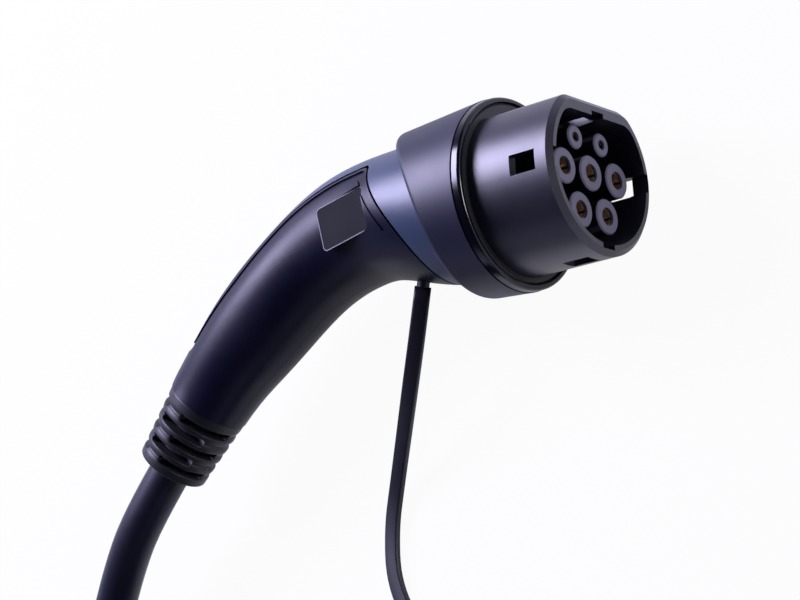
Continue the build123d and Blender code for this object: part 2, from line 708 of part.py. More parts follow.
def make_dust_cap():
    """The rubber cap for the connector's mouth, standing on its closed end."""
    outline = d_profile(SHROUD_R + CAP_GAP + CAP_WALL, SHROUD_FLAT + CAP_GAP + CAP_WALL, SHROUD_CORNER)
    hollow = d_profile(SHROUD_R + CAP_GAP, SHROUD_FLAT + CAP_GAP, SHROUD_CORNER)
    body = extrude(outline, amount=CAP_FLOOR + CAP_DEPTH)
    body = chamfer(body.faces().sort_by(Axis.Z)[0].edges(), CAP_EDGE)
    turned = Rot(0, 0, CAP_FLAT_ANGLE - 90)
    body = turned * (body - Pos(0, 0, CAP_FLOOR) * extrude(hollow, amount=CAP_DEPTH))
    reach = SHROUD_R + CAP_GAP + CAP_WALL + CAP_LUG_REACH
    lug = Box(reach, CAP_LUG_WIDTH, CAP_LUG_HEIGHT, align=(Align.MIN, Align.CENTER, Align.MIN))
    lug -= Cylinder(SHROUD_R + CAP_GAP + CAP_WALL / 2, CAP_LUG_HEIGHT * 2)
    return Pos(*CAP_AT) * (body + Rot(0, 0, CAP_LUG_ANGLE) * lug)


def make_plug_body():
    """The station plug's base: it carries the rings and holds the roots of the pins."""
    body = bar(PLUG_WELL_DEPTH, SHROUD_BACK, d_profile(PLUG_R, PLUG_FLAT, PLUG_CORNER))
    flange = RING_FROM_RIM - PLUG_FLANGE
    body += bar(flange, SHROUD_BACK, d_profile(SHROUD_R, SHROUD_FLAT, SHROUD_CORNER))
    body += rod(SHROUD_BACK, SHROUD_BACK + SPIGOT_LENGTH, SPIGOT_R)
    for _, place, pin, _, _ in all_contacts():
        body -= rod(PLUG_WELL_DEPTH, SHROUD_BACK + SPIGOT_LENGTH, pin + SEAT, place)
    return body


def make_plug_wells():
    """The station plug's front: a D-shaped block with a round well for each pin."""
    body = bar(0, PLUG_WELL_DEPTH, d_profile(PLUG_R, PLUG_FLAT, PLUG_CORNER))
    body = chamfer(body.faces().sort_by(Axis.X)[-1].edges(), PLUG_EDGE)
    for _, place, _, _, pillar in all_contacts():
        body -= rod(0, PLUG_WELL_DEPTH, pillar + PLUG_WELL_EXTRA, place)
    return body


def make_plug_pin(place, pin):
    """One pin of the station plug, from its chamfered tip to its crimp barrel."""
    shoulder = SHROUD_BACK + SPIGOT_LENGTH + SEAT
    body = rod(PLUG_PIN_RECESS, CONTACT_BACK, pin, place)
    body = chamfer(body.faces().sort_by(Axis.X)[-1].edges(), min(PLUG_PIN_TIP, pin / 2))
    body += rod(shoulder, CONTACT_BACK, pin + PLUG_PIN_SHOULDER, place)
    core = CORE_R if pin == POWER_PIN_R else SIGNAL_CORE_R
    return body - rod(CONTACT_BACK - CRIMP_DEPTH, CONTACT_BACK, core + SEAT, place)


def lay_connector(shape):
    """Turns a piece drawn upright so that it lies on its side on the table."""
    return Pos(0, 0, REST_HEIGHT) * Rot(-90, 0, 0) * shape


def lay_plug(shape):
    """Turns a piece over onto its other side and moves it to the coil's far end."""
    meet = coil_ends()[1]
    slope = SECTIONS[-1][2]
    end = boot_frame().offset(boot_length()).origin
    turned = Rot(0, 0, COIL_EXIT_ANGLE + 90 + slope) * Rot(90, 0, 0)
    start = turned * Pos(end)
    shift = meet - start.position
    return Pos(shift) * turned * shape


def connector_pieces():
    """Every piece of the connector, by the name of its node."""
    outer = handle_solid(0.0)
    inner = handle_solid(WALL, OVERRUN)
    shell = make_grip_shell(outer, inner)
    anchor = make_strap_anchor(SEAT)
    pieces = {
        "shroud": make_shroud(),
        "contact_carrier": make_contact_carrier(),
        "contact_retainer": make_contact_retainer(),
        "retainer_screws": make_retainer_screws(),
        "front_seal": make_front_seal(),
        "trim_ring": make_trim_ring(),
        "collar": make_collar(handle_solid(-SEAT, OVERRUN)),
        "cover": (outer - inner) & cover_zone(),
        "grip_left": make_grip(-1, shell, anchor),
        "grip_right": make_grip(1, shell, anchor),
        "housing_screws": make_housing_screws(),
        "label_plate": make_label_plate(),
        "boot": make_boot(),
        "cable_inside": make_cable_inside(),
        "cable_clamp": make_cable_clamp(),
        "pp_resistor": make_pp_resistor(),
        "strap_anchor": make_strap_anchor(),
        "core_cp": make_core(SIGNAL_CONTACTS["cp"], SIGNAL_CORE_R),
    }
    for name, place, pin, sleeve, pillar in all_contacts():
        pieces[f"pillar_{name}"] = make_pillar(place, pin, sleeve, pillar)
    for name, place in POWER_CONTACTS.items():
        pieces[f"core_{name}"] = make_core(place, CORE_R)
        pieces[f"contact_{name}"] = make_contact(
            place, POWER_PIN_R, POWER_CONTACT_R, POWER_BORE_DEPTH
        )
    for name, place in SIGNAL_CONTACTS.items():
        pieces[f"contact_{name}"] = make_contact(
            place, SIGNAL_PIN_R, SIGNAL_CONTACT_R, SIGNAL_BORE_DEPTH
        )
    return pieces


def plug_pieces(connector):
    """Every piece of the station plug, which shares the connector's handle pieces."""
    pieces = {"plug_body": make_plug_body(), "plug_wells": make_plug_wells()}
    pieces["plug_pins"] = [make_plug_pin(place, pin) for _, place, pin, _, _ in all_contacts()]
    for name in SHARED_PIECES:
        pieces[f"plug_{name}"] = connector[name]
    pieces["plug_cores"] = [connector[f"core_{name}"] for name in [*POWER_CONTACTS, "cp"]]
    return pieces


def write(name, shapes, shift):
    """Writes one piece as a STEP file, moved to the row's origin."""
    solids = [solid for shape in shapes for solid in (Pos(shift) * shape).solids()]
    export_step(solids[0] if len(solids) == 1 else Compound(children=solids), f"parts/{name}.step")


def as_list(shape):
    """A piece of one or of several solids, as a list."""
    return shape if isinstance(shape, list) else [shape]


def main():
    """Builds every piece, sets the origin under the connector's middle, and writes the files."""
    os.makedirs("parts", exist_ok=True)
    connector = connector_pieces()
    plug = plug_pieces(connector)
    laid = {}
    for name, shape in connector.items():
        laid[name] = [lay_connector(solid) for solid in as_list(shape)]
    box = Compound(children=[solid for shapes in laid.values() for solid in shapes]).bounding_box()
    shift = Vector(-(box.min.X + box.max.X) / 2, -(box.min.Y + box.max.Y) / 2, 0)
    print(f"the rim is at {shift.X:.3f}, {shift.Y:.3f}; the connector's lowest point {box.min.Z:.3f}")
    for name, shape in plug.items():
        laid[name] = [lay_plug(solid) for solid in as_list(shape)]
    laid["cable"] = [make_cord("cable", CABLE_ROUTE, CABLE_R)]
    laid["cable_coil"] = [make_cable_coil()]
    laid["strap"] = [make_cord("strap", STRAP_ROUTE, STRAP_R)]
    laid["dust_cap"] = [make_dust_cap()]
    for name, shapes in laid.items():
        write(name, shapes, shift)


main()
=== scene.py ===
"""Dresses a packed vehicle charging connector and lays out its strap, cable and coil in a studio.

Lengths are in metres unless a name says millimetres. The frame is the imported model's own: +X out of
the connector's mouth, +Y the way the flat of the mouth points, +Z up from the table.
"""

import logging
import math
from dataclasses import dataclass, field, replace
from enum import Enum

import bpy
import numpy as np
from mathutils import Matrix, Vector


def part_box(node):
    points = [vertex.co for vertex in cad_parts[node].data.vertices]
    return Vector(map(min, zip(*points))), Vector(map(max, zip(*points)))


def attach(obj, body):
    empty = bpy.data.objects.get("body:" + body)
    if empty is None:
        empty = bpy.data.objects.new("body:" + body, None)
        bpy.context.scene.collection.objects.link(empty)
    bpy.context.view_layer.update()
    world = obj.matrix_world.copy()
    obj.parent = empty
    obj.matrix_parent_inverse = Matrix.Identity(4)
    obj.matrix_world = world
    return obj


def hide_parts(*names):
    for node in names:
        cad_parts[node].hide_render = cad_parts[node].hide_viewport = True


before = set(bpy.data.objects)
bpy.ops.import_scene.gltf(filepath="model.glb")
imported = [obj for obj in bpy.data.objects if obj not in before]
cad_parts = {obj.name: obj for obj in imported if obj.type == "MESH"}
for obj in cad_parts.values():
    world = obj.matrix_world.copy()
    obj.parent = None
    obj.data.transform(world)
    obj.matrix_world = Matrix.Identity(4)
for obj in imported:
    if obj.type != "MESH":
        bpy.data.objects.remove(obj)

LOG = logging.getLogger("charging_cable")
ROOT = "root"
MM = 0.001
GRAIN_DETAIL = 2.0
GRAIN_ROUGHNESS = 0.55
PATCH_DETAIL = 3.0
NOISE_LOW, NOISE_HIGH = 0.3, 0.7  # between these lies nearly all of a noise's output
BUMP_STRENGTH = 0.8
LIT_TIP_BLEND_MM = 0.1  # over which the painted shade of a pillar's shaft turns into the painted light of its tip
CURVE_STEPS = 6
CURVE_ORDER = 3


def linear(code: str) -> tuple[float, float, float, float]:
    """Turns an sRGB hex colour to linear light, with full opacity.

    Args:
        code: six hex digits after a hash sign.

    Returns:
        Red, green, blue and alpha for a shader socket.
    """
    shares = [int(code[i : i + 2], 16) / 255 for i in (1, 3, 5)]
    light = [s / 12.92 if s <= 0.04045 else ((s + 0.055) / 1.055) ** 2.4 for s in shares]
    return (*light, 1.0)


def add_node(tree: bpy.types.NodeTree, kind: str, inputs: dict, **settings) -> bpy.types.Node:
    """Adds a shader node, sets its properties and fills its inputs.

    Args:
        tree: the node tree that gets the node.
        kind: the node's type after "ShaderNode".
        inputs: a value or an output socket for each named or numbered input.
        settings: the node's own properties.

    Returns:
        The new node.
    """
    node = tree.nodes.new("ShaderNode" + kind)
    for name, value in settings.items():
        setattr(node, name, value)
    for key, value in inputs.items():
        if isinstance(value, bpy.types.NodeSocket):
            tree.links.new(value, node.inputs[key])
        else:
            node.inputs[key].default_value = value
    return node


class Relief(Enum):
    """How a finish's small relief runs over the surface."""

    GRAIN = "an even spark-eroded grain"
    FLOW = "faint lines along the piece, as extrusion leaves"
    TURNED = "fine rings, as a lathe leaves"


@dataclass(frozen=True)
class Finish:
    """A real surface: its colour, how it was made, and what both give the eye.

    Attributes:
        name: the material's common name.
        colour: sRGB hex of the surface.
        shade: sRGB hex of its slightly darker patches.
        roughness: the shader's roughness.
        spread: how far the roughness wanders from place to place.
        grain_mm: size of the small relief.
        height_mm: height of the small relief.
        relief: how that relief runs.
        metallic: 1 for bare metal.
        ior: refractive index.
        coat: share of a clear gloss layer.
        coat_roughness: roughness of that layer.
        sheen: share of the soft edge glow of rubber.
        patch_mm: size of the patches of colour.
        lit_tip_x: where a paler tip ends along X, or 0 for one colour all over; the tip is painted
            light, where the front light falls.
        lit_tip_mm: length of that tip.
        painted_shade_shaft: sRGB hex of the painted shade on the rest of a piece with a tip.
    """

    name: str
    colour: str
    shade: str
    roughness: float
    spread: float = 0.04
    grain_mm: float = 0.7
    height_mm: float = 0.02
    relief: Relief = Relief.GRAIN
    metallic: float = 0.0
    ior: float = 1.5
    coat: float = 0.0
    coat_roughness: float = 0.4
    sheen: float = 0.0
    patch_mm: float = 22.0
    lit_tip_x: float = 0.0
    lit_tip_mm: float = 0.8
    painted_shade_shaft: str = "#07070f"

    def stretch(self) -> tuple[float, float, float]:
        """How much the relief is drawn out along each axis."""
        if self.relief is Relief.GRAIN:
            return (1.0, 1.0, 1.0)
        if self.relief is Relief.FLOW:
            return (0.25, 0.25, 1.0)
        return (3.0, 0.2, 0.2)

    def material(self) -> bpy.types.Material:
        """Builds the node material: patches of colour, wandering gloss and a small relief, and on a
        tipped piece painted light and shade.

        Returns:
            The material, ready to be put on a mesh.
        """
        made = bpy.data.materials.new(self.name)
        made.use_nodes = True
        tree = made.node_tree
        shader = next(node for node in tree.nodes if node.type == "BSDF_PRINCIPLED")
        place = add_node(tree, "TexCoord", {}).outputs["Object"]
        drawn = add_node(tree, "Mapping", {"Vector": place, "Scale": self.stretch()})
        grain = add_node(
            tree,
            "TexNoise",
            {
                "Vector": drawn.outputs["Vector"],
                "Scale": 1 / (self.grain_mm * MM),
                "Detail": GRAIN_DETAIL,
                "Roughness": GRAIN_ROUGHNESS,
            },
        )
        patches = add_node(
            tree,
            "TexNoise",
            {"Vector": place, "Scale": 1 / (self.patch_mm * MM), "Detail": PATCH_DETAIL},
        )
        wander = add_node(
            tree,
            "MapRange",
            {
                "Value": patches.outputs["Fac"],
                "From Min": NOISE_LOW,
                "From Max": NOISE_HIGH,
                "To Min": self.roughness - self.spread,
                "To Max": self.roughness + self.spread,
            },
        )
        colour = add_node(
            tree,
            "Mix",
            {0: grain.outputs["Fac"], 6: linear(self.shade), 7: linear(self.colour)},
            data_type="RGBA",
        )
        bump = add_node(
            tree,
            "Bump",
            {
                "Height": grain.outputs["Fac"],
                "Distance": self.height_mm * MM,
                "Strength": BUMP_STRENGTH,
            },
        )
        paint = colour.outputs[2]
        # Painted light and shade: a paler tip where the front light falls, and a near-black shaft
        # behind it where shade falls.
        if self.lit_tip_x:
            along = add_node(tree, "SeparateXYZ", {"Vector": place}).outputs["X"]
            start = self.lit_tip_x - self.lit_tip_mm * MM
            front = add_node(
                tree,
                "MapRange",
                {"Value": along, "From Min": start - LIT_TIP_BLEND_MM * MM, "From Max": start},
            )
            light_and_shade_split = add_node(
                tree,
                "Mix",
                {0: front.outputs["Result"], 6: linear(self.painted_shade_shaft), 7: paint},
                data_type="RGBA",
            )
            paint = light_and_shade_split.outputs[2]
        tree.links.new(paint, shader.inputs["Base Color"])
        tree.links.new(wander.outputs["Result"], shader.inputs["Roughness"])
        tree.links.new(bump.outputs["Normal"], shader.inputs["Normal"])
        shader.inputs["Metallic"].default_value = self.metallic
        if not self.metallic:
            shader.inputs["IOR"].default_value = self.ior
        shader.inputs["Coat Weight"].default_value = self.coat
        shader.inputs["Coat Roughness"].default_value = self.coat_roughness
        shader.inputs["Sheen Weight"].default_value = self.sheen
        return made


# Glass-filled polyamide, moulded in a spark-eroded tool: even grain and a wide soft highlight
INSULATOR = Finish(
    "moulded_black_polyamide", "#0c0c24", "#070716", 0.44, 0.04, 0.7, 0.03, ior=1.58, coat=0.7
)
# The retainer: paler grey plastic, moulded smooth. The pillars get it as painted light on their tips,
# and painted shade on their shafts.
PILLAR = Finish("moulded_grey_polyamide", "#5c5b6a", "#52515f", 0.42, 0.03, 0.9, 0.008)
# Silver-plated copper alloy, turned: bright, faintly warm, with fine rings
CONTACT = Finish(
    "silver_plated_alloy", "#e8dcc4", "#c9b38c", 0.22, 0.06, 0.5, 0.01, Relief.TURNED, 1.0
)
# The same alloy stamped as the louvred spring band in a socket: many small facets that glint
SPRING_BAND = Finish(
    "silver_plated_spring_band", "#f2e2d0", "#d8bfa4", 0.3, 0.08, 0.8, 0.35, metallic=1.0
)
# Zinc-plated steel screw
SCREW = Finish("zinc_plated_steel", "#b9bac0", "#9a9ba3", 0.35, 0.06, 0.4, 0.01, metallic=1.0)
# Polished ABS ring: near-black with sharp reflections
GLOSS_RING = Finish("polished_black_abs", "#090914", "#06060e", 0.16, 0.03, 1.2, 0.002)
# Matte ABS collar: fine grain, dark grey
COLLAR = Finish("moulded_dark_grey_abs", "#1b1c36", "#15162c", 0.46, 0.03, 0.7, 0.02, ior=1.54)
# Satin polycarbonate cover in blue-grey: smooth, with a clear soft highlight
COVER = Finish("satin_blue_grey_polycarbonate", "#3a4962", "#334157", 0.4, 0.03, 1.0, 0.004, ior=1.585)
# Satin polycarbonate grip in black: smooth, silky
GRIP = Finish("satin_black_polycarbonate", "#0a0a28", "#07071d", 0.4, 0.04, 0.8, 0.006, ior=1.38)
# Printed plate left bare: flat dark film
PLATE = Finish("bare_dark_film", "#08080f", "#06060c", 0.6, 0.03, 0.8, 0.004, ior=1.2)
PLATE_LINE = Finish("pale_printed_line", "#6f6e7c", "#63626f", 0.5, 0.02, 0.8, 0.002)
# Thermoplastic rubber, moulded: matte with a soft edge glow
BOOT_RUBBER = Finish("moulded_black_rubber", "#090812", "#06060d", 0.46, 0.05, 0.7, 0.02, sheen=0.08)
STRAP_RUBBER = Finish("extruded_black_rubber", "#12111e", "#0e0d18", 0.5, 0.05, 0.8, 0.01, sheen=0.05)
# Polyurethane sheath, extruded: satin black with faint lines
SHEATH = Finish("extruded_black_polyurethane", "#101026", "#0b0b1c", 0.46, 0.05, 0.8, 0.02)
NYLON = Finish("moulded_black_nylon", "#2b2b2e", "#222225", 0.5)
LACQUER = Finish("lacquered_resistor", "#7c94b0", "#6d84a0", 0.3, coat=0.3)
CORE_GREEN = Finish("green_core_insulation", "#6f9a2e", "#5f8a28", 0.42, 0.03, 0.6, 0.005)
CORE_BLUE = Finish("blue_core_insulation", "#2f5cae", "#28519c", 0.42, 0.03, 0.6, 0.005)
CORE_BROWN = Finish("brown_core_insulation", "#6a4224", "#5c391f", 0.42, 0.03, 0.6, 0.005)
CORE_BLACK = Finish("black_core_insulation", "#1c1c1c", "#161616", 0.42, 0.03, 0.6, 0.005)
CORE_GREY = Finish("grey_core_insulation", "#8a8a8a", "#7c7c7c", 0.42, 0.03, 0.6, 0.005)
CORE_WHITE = Finish("white_core_insulation", "#d9d8d2", "#cbcac4", 0.42, 0.03, 0.6, 0.005)

CONTACTS = ("pe", "n", "l1", "l2", "l3", "cp", "pp")
PILLAR_NODES = tuple(f"pillar_{name}" for name in CONTACTS)
CAD_FINISHES = {
    INSULATOR: ("shroud", "contact_carrier", "plug_body", "plug_wells"),
    PILLAR: PILLAR_NODES + ("contact_retainer",),
    SPRING_BAND: tuple(f"contact_{name}" for name in CONTACTS),
    SCREW: ("retainer_screws", "housing_screws"),
    GLOSS_RING: ("trim_ring",),
    COLLAR: ("collar",),
    COVER: ("cover",),
    GRIP: ("grip_left", "grip_right"),
    PLATE: ("label_plate",),
    BOOT_RUBBER: ("boot", "front_seal", "dust_cap"),
    STRAP_RUBBER: ("strap_anchor",),
    SHEATH: ("cable_inside",),
    NYLON: ("cable_clamp",),
    LACQUER: ("pp_resistor",),
    CORE_GREEN: ("core_pe",),
    CORE_BLUE: ("core_n",),
    CORE_BROWN: ("core_l1",),
    CORE_BLACK: ("core_l2",),
    CORE_GREY: ("core_l3", "cores"),
    CORE_WHITE: ("core_cp",),
}


@dataclass
class Layout:
    """Where the connector lies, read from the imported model.

    Attributes:
        rim_x: the mouth's rim along X.
        axis_y: the mating axis along Y.
        axis_z: the mating axis over the table.
    """

    rim_x: float
    axis_y: float
    axis_z: float

    @classmethod
    def read(cls) -> "Layout":
        """Takes the rim from the shroud's box and the axis from the trim ring's."""
        ring_low, ring_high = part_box("trim_ring")
        return cls(
            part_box("shroud")[1][0],
            (ring_low[1] + ring_high[1]) / 2,
            (ring_low[2] + ring_high[2]) / 2,
        )

    def moved(self, points: list[tuple[float, float, float]]) -> np.ndarray:
        """Moves points measured from the rim on the table's plane into the frame.

        Args:
            points: places with their height over the table.

        Returns:
            One row of three numbers for each place.
        """
        return np.array(points, dtype=float) + np.array([self.rim_x, self.axis_y, 0.0])


def nurbs(name: str, points: np.ndarray, half_width: float) -> bpy.types.Object:
    """Makes a smooth curve with these control points.

    Args:
        name: the piece's name.
        points: control points, one row each.
        half_width: bevel depth, or 0 for a bare line.

    Returns:
        The curve's object.
    """
    curve = bpy.data.curves.new(name, "CURVE")
    curve.dimensions = "3D"
    curve.resolution_u = CURVE_STEPS
    curve.bevel_depth = half_width
    curve.bevel_resolution = CURVE_STEPS
    curve.use_fill_caps = True
    spline = curve.splines.new("NURBS")
    spline.points.add(len(points) - 1)
    spline.points.foreach_set("co", np.column_stack([points, np.ones(len(points))]).ravel())
    spline.order_u = CURVE_ORDER
    spline.use_endpoint_u = True
    made = bpy.data.objects.new(name, curve)
    bpy.context.scene.collection.objects.link(made)
    return made


def grid_mesh(name: str, rings: np.ndarray, capped: bool) -> bpy.types.Object:
    """Makes a closed mesh from a grid of points: each row is one ring round the surface.

    Args:
        name: the piece's name.
        rings: points as an array of rows, columns and three coordinates.
        capped: whether the first and the last row are filled. Otherwise they are joined.

    Returns:
        The mesh's object.
    """
    rows, columns = rings.shape[:2]
    index = np.arange(rows * columns).reshape(rows, columns)
    side = np.concatenate([index, index[:, :1]], axis=1)
    if not capped:
        side = np.concatenate([side, side[:1]], axis=0)
    quads = np.stack([side[:-1, :-1], side[:-1, 1:], side[1:, 1:], side[1:, :-1]], axis=-1)
    faces = quads.reshape(-1, 4).tolist()
    if capped:
        faces.append(index[0, ::-1].tolist())
        faces.append(index[-1].tolist())
    mesh = bpy.data.meshes.new(name)
    mesh.from_pydata(rings.reshape(-1, 3).tolist(), [], faces)
    mesh.polygons.foreach_set("use_smooth", np.ones(len(mesh.polygons), dtype=bool))
    mesh.update()
    made = bpy.data.objects.new(name, mesh)
    bpy.context.scene.collection.objects.link(made)
    return made


def dress(piece: bpy.types.Object, material: bpy.types.Material) -> bpy.types.Object:
    """Puts a material on a new piece and fixes it to the connector.

    Args:
        piece: the new piece.
        material: its material.

    Returns:
        The same piece.
    """
    piece.data.materials.clear()
    piece.data.materials.append(material)
    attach(piece, ROOT)
    return piece


class Palette:
    """Builds each finish's material once."""

    def __init__(self) -> None:
        """Starts with no materials."""
        self.made: dict[Finish, bpy.types.Material] = {}

    def get(self, finish: Finish) -> bpy.types.Material:
        """Returns the material of a finish."""
        if finish not in self.made:
            self.made[finish] = finish.material()
        return self.made[finish]


@dataclass
class Hardware:
    """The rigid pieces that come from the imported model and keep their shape.

    Attributes:
        palette: the materials.
    """

    palette: Palette

    def finish_of(self, node: str) -> Finish:
        """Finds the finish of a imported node, whether it is on the connector or on the plug.

        Args:
            node: the node's name.

        Returns:
            Its finish.
        """
        base = node.removeprefix("plug_")
        for finish, names in CAD_FINISHES.items():
            if node in names or base in names:
                return finish
        return CONTACT

    def dress_all(self) -> None:
        """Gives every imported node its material."""
        for node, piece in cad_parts.items():
            finish = self.finish_of(node)
            # A pillar's tip gets painted light and the rest of it painted shade, split at the pillar's
            # front end.
            if node in PILLAR_NODES:
                finish = replace(finish, lit_tip_x=round(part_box(node)[1][0], 5))
            material = self.palette.get(finish)
            for index in range(len(piece.material_slots)):
                piece.material_slots[index].material = material
            LOG.info("%s is %s", node, material.name)


@dataclass
class ChargingCable:
    """The thick cable: from the connector's boot into its coil and out to the station plug.

    Attributes:
        layout: where the connector lies.
        radius: the sheath's radius.
        route: from the boot to the start of the coil's straight entry, seen from the rim.
        entry_reach: the straight stretch before the outer turn.
        entry_angle: where the cable meets the outer turn, in degrees round the coil.
        exit_angle: where it leaves it.
        exit_reach: the straight stretch to the plug's boot.
        mean_radius: radius of the middle column of turns.
        slots: column and layer of each turn, in the order in which the cable fills them.
        first_step: degrees from the entry to the first step to a new place.
        step_gap: degrees from one step to the next, less than a full turn so that they don't meet.
        step_width: degrees that a step takes.
        points_per_turn: control points in each turn.
        entry_share: where the entry's middle point lies on that stretch.
        exit_shares: where the two points between the outer turn and the plug lie on theirs.
        exit_rise: share of the height between coil and plug that the first of them has gone.
        length: the cable's real length.
    """

    layout: Layout
    radius: float = 0.0085
    route: list = field(
        default_factory=lambda: [
            (-0.220703, -0.071803, 0.0362),
            (-0.240703, -0.091803, 0.0362),
            (-0.2575, -0.1100, 0.0312),
            (-0.2723, -0.1293, 0.0255),
            (-0.2840, -0.1480, 0.0255),
        ]
    )
    entry_reach: float = 0.066
    entry_angle: float = 148.0
    exit_angle: float = 289.0
    exit_reach: float = 0.085
    mean_radius: float = 0.100
    slots: tuple = ((1, 1), (1, 0), (0, 0), (-1, 0), (-1, 1), (0, 1), (-1, 2), (0, 2), (1, 2))
    first_step: float = 330.0
    step_gap: float = 315.0
    step_width: float = 45.0
    points_per_turn: int = 16
    entry_share: float = 0.5
    exit_shares: tuple = (0.35, 0.65)
    exit_rise: float = 0.3
    length: float = 4.9

    def middle(self, start: np.ndarray) -> np.ndarray:
        """The coil's centre, one entry stretch on from the route's end and one radius in.

        Args:
            start: where the straight entry begins.

        Returns:
            The centre on the table.
        """
        out = math.radians(self.entry_angle)
        radius = self.mean_radius + 2 * self.radius
        along = np.array([-math.sin(out), math.cos(out)])
        return start[:2] + self.entry_reach * along - radius * np.array([math.cos(out), math.sin(out)])

    def turns(self, centre: np.ndarray) -> np.ndarray:
        """The control points of all turns.

        The angle grows evenly. The place in the coil's section goes from one slot to the next in
        short steps, and radius and height follow it by straight interpolation. A quadratic curve
        cuts inside its control points by the cosine of half a step, so the radii are that much
        larger.

        Args:
            centre: the coil's centre on the table.

        Returns:
            One row of three numbers for each point.
        """
        whole = 360.0 * (len(self.slots) - 2) + (self.exit_angle - self.entry_angle)
        count = round(whole / 360.0 * self.points_per_turn) + 1
        angle = np.linspace(0.0, whole, count)
        starts = self.first_step + self.step_gap * np.arange(len(self.slots) - 1)
        marks = np.stack([starts, starts + self.step_width], axis=1).ravel()
        steps = np.repeat(np.arange(len(self.slots)), 2)[1:-1]
        slot = np.interp(angle, marks, steps)
        columns, layers = np.array(self.slots, dtype=float).T
        order = np.arange(len(self.slots))
        inside = math.cos(math.radians(angle[1] - angle[0]) / 2)
        radii = (self.mean_radius + 2 * self.radius * np.interp(slot, order, columns)) / inside
        heights = self.radius * (2 * np.interp(slot, order, layers) + 1)
        turn = np.radians(angle + self.entry_angle)
        return np.stack(
            [centre[0] + radii * np.cos(turn), centre[1] + radii * np.sin(turn), heights], axis=1
        )

    def points(self) -> np.ndarray:
        """All control points: the route, the straight entry, the turns and the way to the plug."""
        route = self.layout.moved(self.route)
        centre = self.middle(route[-1])
        turns = self.turns(centre)
        out = math.radians(self.entry_angle)
        along = np.array([-math.sin(out), math.cos(out), 0.0])
        entry = route[-1] + self.entry_share * self.entry_reach * along
        leave = math.radians(self.exit_angle)
        radius = self.mean_radius + 2 * self.radius
        rim = centre + radius * np.array([math.cos(leave), math.sin(leave)])
        foot = np.array([*rim, turns[-1][2]])
        onward = np.array([-math.sin(leave), math.cos(leave), 0.0]) * self.exit_reach
        middle, last = (foot + share * onward for share in self.exit_shares)
        meet = foot + onward
        middle[2] = (1 - self.exit_rise) * foot[2] + self.exit_rise * self.layout.axis_z
        last[2] = meet[2] = self.layout.axis_z
        return np.vstack([route, entry, turns, middle, last, meet])

    def build(self, palette: Palette, sleeve: bpy.types.Object) -> bpy.types.Object:
        """Args:
            palette: the materials.
            sleeve: the station plug's sleeve, which lies at the cable's far end.

        Returns:
            The cable's object.
        """
        points = self.points()
        cable = nurbs("charging_cable", points, self.radius)
        dress(cable, palette.get(SHEATH))
        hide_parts("cable", "cable_coil")
        plug = [piece for name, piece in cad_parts.items() if name.startswith("plug_")]
        plug.append(sleeve)
        LOG.info("cable with %d control points and %d plug pieces", len(points), len(plug))
        return cable


